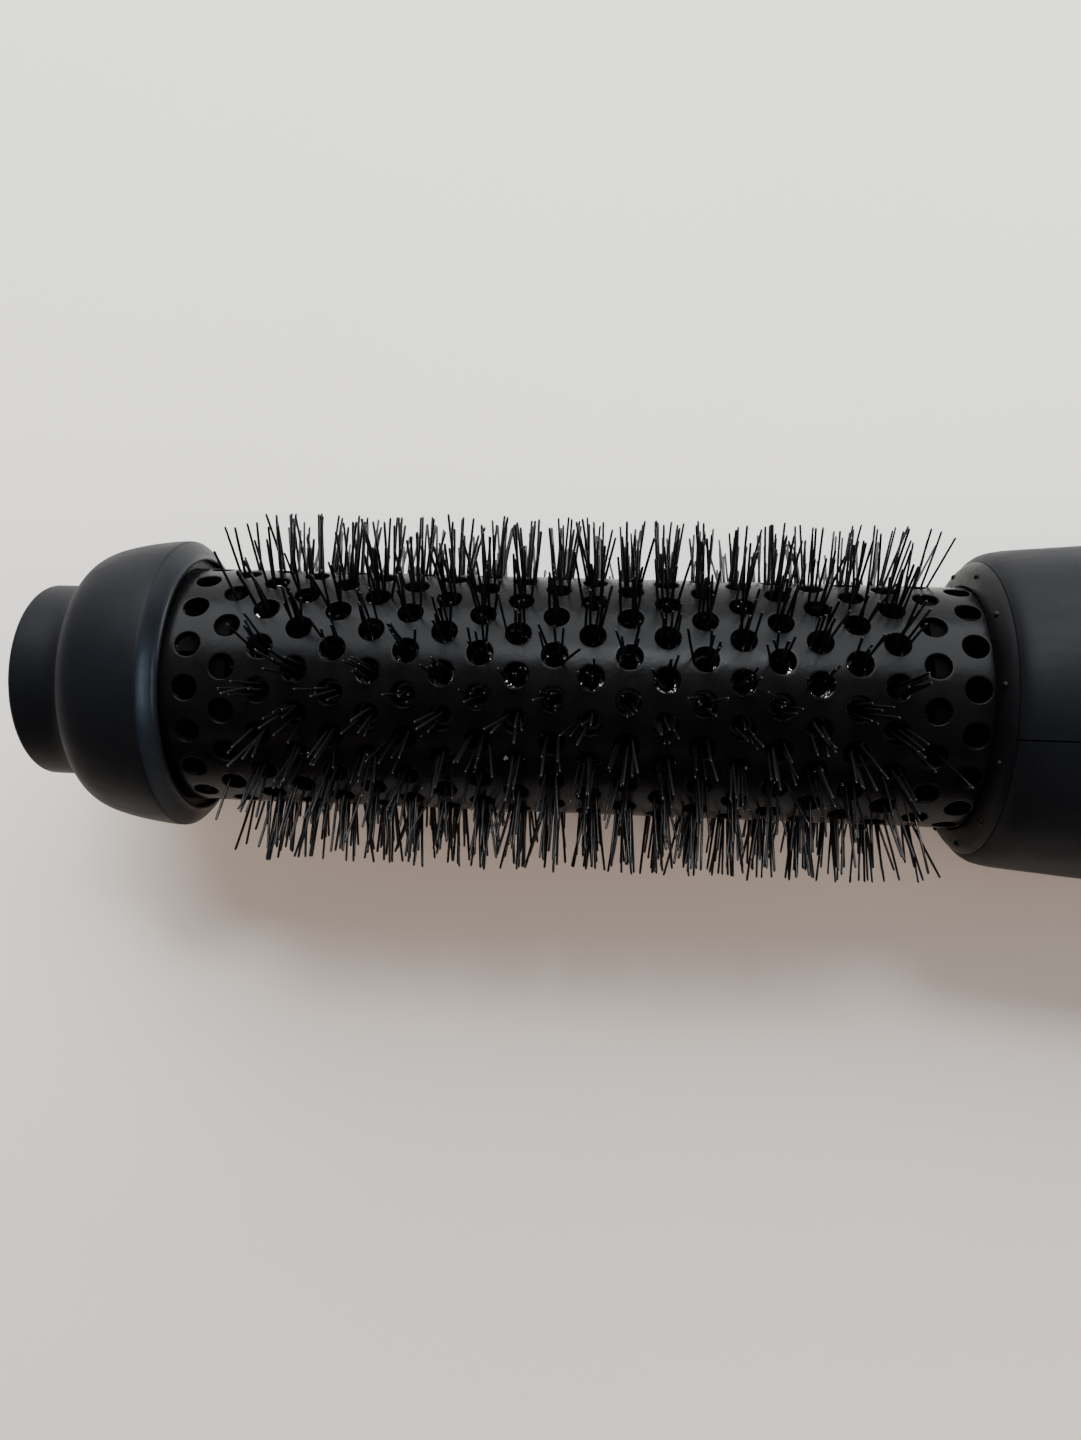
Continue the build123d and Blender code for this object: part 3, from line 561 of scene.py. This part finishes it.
def build_bristles():
    """Tufts of each pair of rows, in place of the CAD pegs."""
    for node in range(HOLES_PER_RING // NODE_ROWS):
        tufts = Tufts(random.Random(SEED + node))
        for row in range(node * NODE_ROWS, (node + 1) * NODE_ROWS):
            for ring in range(FIRST_TUFT_RING, LAST_TUFT_RING + 1):
                tufts.tuft(ring, row)
        make_piece(f"tufts_{node + 1}", tufts.points, tufts.faces, "bristle", "brush",
                   (f"bristle_rows_{node + 1}",))


def build_strays():
    """Single filaments that have slipped out through the empty holes at both ends of the barrel."""
    rng = random.Random(SEED + 100)
    tufts = Tufts(rng)
    side_rows = (4, 5, 13, 14)                       # the rows that face along the floor
    for ring, outward, share in ((2, -1, 0.2), (21, 1, 0.25)):
        for row in range(HOLES_PER_RING):
            if row in side_rows:
                leans = (9, 16) if ring == 2 else (10, 17, 25)
            elif rng.random() < share:
                leans = [rng.uniform(2, 14)]
            else:
                continue
            for tilt in leans:
                offset = (rng.uniform(-0.7, 0.7), rng.uniform(-0.7, 0.7))
                tufts.grow(ring, row, offset, (outward * tilt, rng.gauss(0, 3)), rng.uniform(22.0, 23.6))
    make_piece("stray_filaments", tufts.points, tufts.faces, "bristle", "brush")


build_bristles()
build_strays()


# ---- cool tip and nose ring -----------------------------------------------------------------------------
def build_tip_cap():
    """Soft-touch cap: knob, hollowed neck, domed shoulder and a bevel down to the collar."""
    end_x, knob_r, lip_x, lip_r = -73.2, 13.2, -51.35, 17.15
    inner_end_x, centre_r, lip_gap = -71.4, 0.02, 0.02
    knob_edge, shoulder_edge, lip_edge = 0.8, 0.4, 0.2          # radii of the rounded edges
    outline = [(lip_x, lip_r - lip_gap), (-60.0, lip_r - lip_gap), (-60.4, 15.2), (-65.8, 14.4),
               (-66.6, 11.4), (inner_end_x, 11.0), (inner_end_x, centre_r), (end_x, centre_r), (end_x, 4),
               (end_x, 8), (end_x, 11)]
    outline += arc((end_x + knob_edge, knob_r - knob_edge), knob_edge, 180, 90, 8)
    outline += smooth_run([(-69.6, knob_r), (-68.0, 13.28), (-66.85, 13.55), (-66.05, 14.05), (-65.55, 14.8),
                           (-65.25, 15.65), (-64.85, 16.45), (-64.1, 17.2), (-62.9, 17.9), (-61.0, 18.55),
                           (-58.0, 19.2), (-55.0, 19.6), (-53.6, 19.7)], 6)
    outline += arc((-53.35, 19.3), shoulder_edge, 90, 44, 4)
    outline += [(-52.5, 19.0), (-51.9, 18.05), (-51.6, 17.55)]
    outline += arc((lip_x - lip_edge, lip_r + lip_edge), lip_edge, 30, -60, 3)
    cap = lathe("cap_skin", outline, "soft_touch", "brush", ("tip_cap",))
    cap.data.materials.append(satin_finish())
    bevel_start, bevel_end = (BARREL_X - 52.95) * MM, (BARREL_X + lip_x) * MM
    for face in cap.data.polygons:
        height = math.hypot(face.center.y, face.center.z - AXIS_Z * MM)
        if bevel_start < face.center.x < bevel_end and height > (lip_r + 0.05) * MM:
            face.material_index = 1


build_tip_cap()


def build_nose_ring():
    """Dark ring with a rounded face and small raised pips."""
    bore, face_x, rim_r = BARREL_R + 0.05, 50.4, 19.4
    outline = [(face_x + 0.25, bore), (face_x, bore + 0.25), (face_x, 16.7)]
    outline += smooth_run([(face_x + 0.02, 16.9), (50.55, 17.5), (50.85, 18.2), (51.3, 18.85),
                           (51.95, rim_r)], 6)
    outline += [(52.0, rim_r - 0.1), (52.0, 18.3), (56.0, 18.3), (56.0, 19.2), (58.0, 19.2), (58.0, 18.0),
                (59.6, 18.0), (59.6, 15.3), (57.85, 15.3), (57.85, bore)]
    lathe("nose_skin", outline, "gloss_ring", "brush", ("nose_ring",))
    pip_r, pip_count, first_pip = 0.42, 12, -8.0
    pip_x, pip_circle_r, pip_front_x = 50.85, 18.0, 50.35
    work = bmesh.new()
    for k in range(pip_count):
        centre = on_brush(pip_x, first_pip + 360 / pip_count * k, pip_circle_r)
        bmesh.ops.create_icosphere(work, subdivisions=3, radius=pip_r * MM, matrix=Matrix.Translation(centre))
    for vert in work.verts:
        vert.co.x = max(vert.co.x, (BARREL_X + pip_front_x) * MM)
    add_mesh(mesh_from(work, "nose_pips"), "gloss_ring", "brush")


build_nose_ring()


# ---- cool-shot spring -----------------------------------------------------------------------------------
def build_button_spring():
    """Wound wire in place of the CAD sleeve."""
    low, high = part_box("cool_button_spring")
    centre = (low + high) / 2
    wire_r, coil_r = 0.26 * MM, 2.2 * MM
    turns, per_turn, sides = 8, 28, 10
    flat_share = 0.09                                       # share of the wire in each closed end turn
    first, last = high.y - wire_r, low.y + wire_r
    points, faces = [], []
    steps = turns * per_turn
    for k in range(steps + 1):
        share = k / steps
        closed = min(max((share - flat_share) / 0.82, 0), 1)
        turn = 2 * math.pi * turns * share
        along = first + (last - first) * closed
        for j in range(sides):
            tilt = 2 * math.pi * j / sides
            reach = coil_r + wire_r * math.cos(tilt)
            points.append(Vector((centre.x + reach * math.cos(turn), along + wire_r * math.sin(tilt),
                                  centre.z + reach * math.sin(turn))))
    for k in range(steps):
        for j in range(sides):
            m = (j + 1) % sides
            faces.append((k * sides + j, k * sides + m, (k + 1) * sides + m, (k + 1) * sides + j))
    faces.append(tuple(range(sides)))
    faces.append(tuple(reversed(range(steps * sides, (steps + 1) * sides))))
    spring = make_piece("button_spring_wire", points, faces, "steel", "brush", ("cool_button_spring",),
                        sharp=60)
    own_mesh(spring)


build_button_spring()


# ---- light and floor ------------------------------------------------------------------------------------
def add_lights():
    """A wide window from the far side with a small skylight over it, warm light from the near side, a cool
    light off the handle's end, and a dim room."""
    def area(name, place, target, size, watts, colour, mirrored=True):
        data = bpy.data.lights.new(name, "AREA")
        data.shape = "RECTANGLE"
        data.size, data.size_y = size
        data.energy = watts
        data.color = colour
        lamp = bpy.data.objects.new(name, data)
        lamp.location = place
        lamp.visible_glossy = mirrored
        lamp.rotation_euler = (Vector(target) - Vector(place)).to_track_quat("-Z", "Y").to_euler()
        bpy.context.scene.collection.objects.link(lamp)

    middle = (BARREL_X * MM, 0, AXIS_Z * MM)
    area("window", (-0.05, 0.76, 0.48), middle, (1.4, 0.8), 33.5, (0.985, 1.0, 1.0))
    area("skylight", (BARREL_X * MM + 0.04, 0.60, 0.80), middle, (0.24, 0.14), 3.8, (1.0, 1.0, 1.0))
    area("warm_fill", (-0.1, -0.15, 0.90), middle, (0.9, 0.5), 3.2, (1.0, 0.64, 0.40), mirrored=False)
    area("warm_streak", (-0.1, -0.62, 0.50), middle, (0.9, 0.09), 0.30, (1.0, 0.68, 0.58))
    area("side_light", (1.1, -0.02, 0.26), middle, (0.4, 0.3), 17.0, (0.66, 0.82, 1.0))
    world = bpy.data.worlds.new("room")
    world.use_nodes = True
    tree = world.node_tree
    background = tree.nodes["Background"]
    background.inputs["Strength"].default_value = 0.38
    place = tree.nodes.new("ShaderNodeTexCoord").outputs["Generated"]
    split = tree.nodes.new("ShaderNodeSeparateXYZ")
    tree.links.new(place, split.inputs[0])
    ramp = tree.nodes.new("ShaderNodeValToRGB")
    ramp.color_ramp.elements[0].position = 0.50
    ramp.color_ramp.elements[0].color = (0.21, 0.18, 0.165, 1)
    ramp.color_ramp.elements[1].position = 0.85
    ramp.color_ramp.elements[1].color = (0.60, 0.61, 0.62, 1)
    shift = tree.nodes.new("ShaderNodeMath")
    shift.operation = "MULTIPLY_ADD"
    shift.inputs[1].default_value = 0.5
    shift.inputs[2].default_value = 0.5
    tree.links.new(split.outputs["Y"], shift.inputs[0])
    tree.links.new(shift.outputs[0], ramp.inputs["Fac"])
    tree.links.new(ramp.outputs["Color"], background.inputs["Color"])
    bpy.context.scene.world = world


def add_floor():
    half = 6.0
    mesh = bpy.data.meshes.new("floor")
    corners = [(-half, -half, 0), (half, -half, 0), (half, half, 0), (-half, half, 0)]
    mesh.from_pydata(corners, [], [(0, 1, 2, 3)])
    mesh.materials.append(paper_finish())
    floor = bpy.data.objects.new("floor", mesh)
    bpy.context.scene.collection.objects.link(floor)


add_floor()
add_lights()
